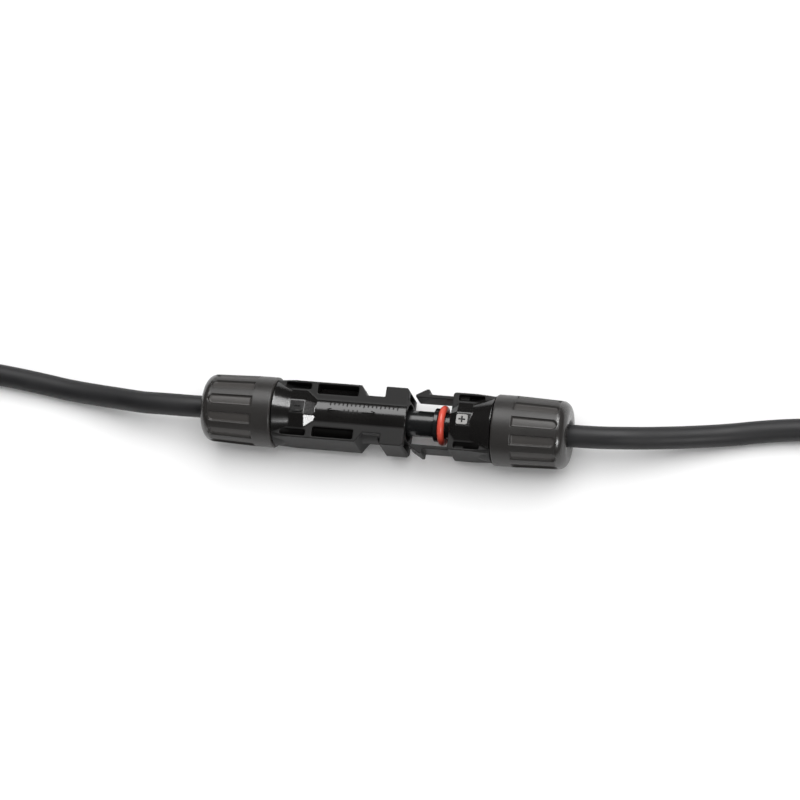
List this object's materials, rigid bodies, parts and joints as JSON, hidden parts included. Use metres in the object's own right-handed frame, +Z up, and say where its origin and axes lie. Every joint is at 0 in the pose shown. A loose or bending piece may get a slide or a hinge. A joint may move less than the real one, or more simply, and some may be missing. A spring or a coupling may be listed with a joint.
{
  "type": "solar cable connector",
  "caption": "Two-part latching plug connector for solar cable: a pin half and a socket half, partly mated, each with a screwed gland nut, seal ring and short pigtail lead.",
  "frame": {"origin": "midway between the two gland nuts' rear faces, on the surface that the nuts rest on, under the connector's axis", "axes": "+X along the connector from the pin half's cable to the socket half's cable, +Y to the left seen along +X, +Z up"},
  "size_m": [0.4055, 0.0441, 0.019],
  "materials": {
    "housing": "semi-gloss black moulded plastic",
    "nut": "fine textured black moulded plastic",
    "cage": "matte black moulded plastic",
    "seal": "black silicone rubber",
    "o_ring": "smooth orange-red silicone rubber",
    "sheath": "matte black cable sheath",
    "core": "off-white inner insulation",
    "tinned": "tin-plated copper",
    "spring": "stainless spring strip",
    "tie": "black nylon cable tie"
  },
  "bodies": {
    "pin_half": {"pin_housing": "housing", "pin_contact": "tinned", "pin_contact_clip": "spring", "pin_conductor": "tinned", "pin_cable_seal": "seal", "pin_lead": "sheath", "pin_lead_hank": "sheath", "pin_lead_tie": "tie", "pin_lead_core_end": "core", "pin_lead_strand_end": "tinned"},
    "pin_cage": {"pin_clamp_cage": "cage"},
    "pin_nut": {"pin_gland_nut": "nut"},
    "socket_half": {"socket_housing": "housing", "socket_o_ring": "o_ring", "socket_contact": "tinned", "socket_contact_sleeve": "spring", "socket_contact_clip": "spring", "socket_conductor": "tinned", "socket_cable_seal": "seal", "socket_lead": "sheath", "socket_lead_hank": "sheath", "socket_lead_tie": "tie", "socket_lead_core_end": "core", "socket_lead_strand_end": "tinned"},
    "socket_cage": {"socket_clamp_cage": "cage"},
    "socket_nut": {"socket_gland_nut": "nut"},
    "latch_near": {"latch_arm_near": "housing"},
    "latch_far": {"latch_arm_far": "housing"}
  },
  "joints": [
    {"name": "plug_slide", "type": "slide", "parent": "pin_half", "child": "socket_half", "axis": [1, 0, 0], "range_m": [-0.0008, 0.024]},
    {"name": "latch_near_flex", "type": "hinge", "parent": "socket_half", "child": "latch_near", "pos_m": [0.0209, -0.007, 0.0095], "axis": [0, 0, -1], "range_deg": [0, 9], "stiffness_Nm_per_rad": 0.3},
    {"name": "latch_far_flex", "type": "hinge", "parent": "socket_half", "child": "latch_far", "pos_m": [0.0209, 0.007, 0.0095], "axis": [0, 0, 1], "range_deg": [0, 9], "stiffness_Nm_per_rad": 0.3},
    {"name": "pin_cage_slide", "type": "slide", "parent": "pin_half", "child": "pin_cage", "axis": [-1, 0, 0], "range_m": [0, 0.0061]},
    {"name": "pin_nut_turn", "type": "hinge", "parent": "pin_cage", "child": "pin_nut", "pos_m": [-0.04, 0, 0.0095], "axis": [-1, 0, 0], "range_deg": [0, 1080]},
    {"name": "socket_cage_slide", "type": "slide", "parent": "socket_half", "child": "socket_cage", "axis": [1, 0, 0], "range_m": [0, 0.0061]},
    {"name": "socket_nut_turn", "type": "hinge", "parent": "socket_cage", "child": "socket_nut", "pos_m": [0.04, 0, 0.0095], "axis": [1, 0, 0], "range_deg": [0, 1080]}
  ],
  "couplings": [
    {"joint": "pin_cage_slide", "follows": "pin_nut_turn", "m_per_rad": 0.00031831},
    {"joint": "socket_cage_slide", "follows": "socket_nut_turn", "m_per_rad": 0.00031831}
  ]
}
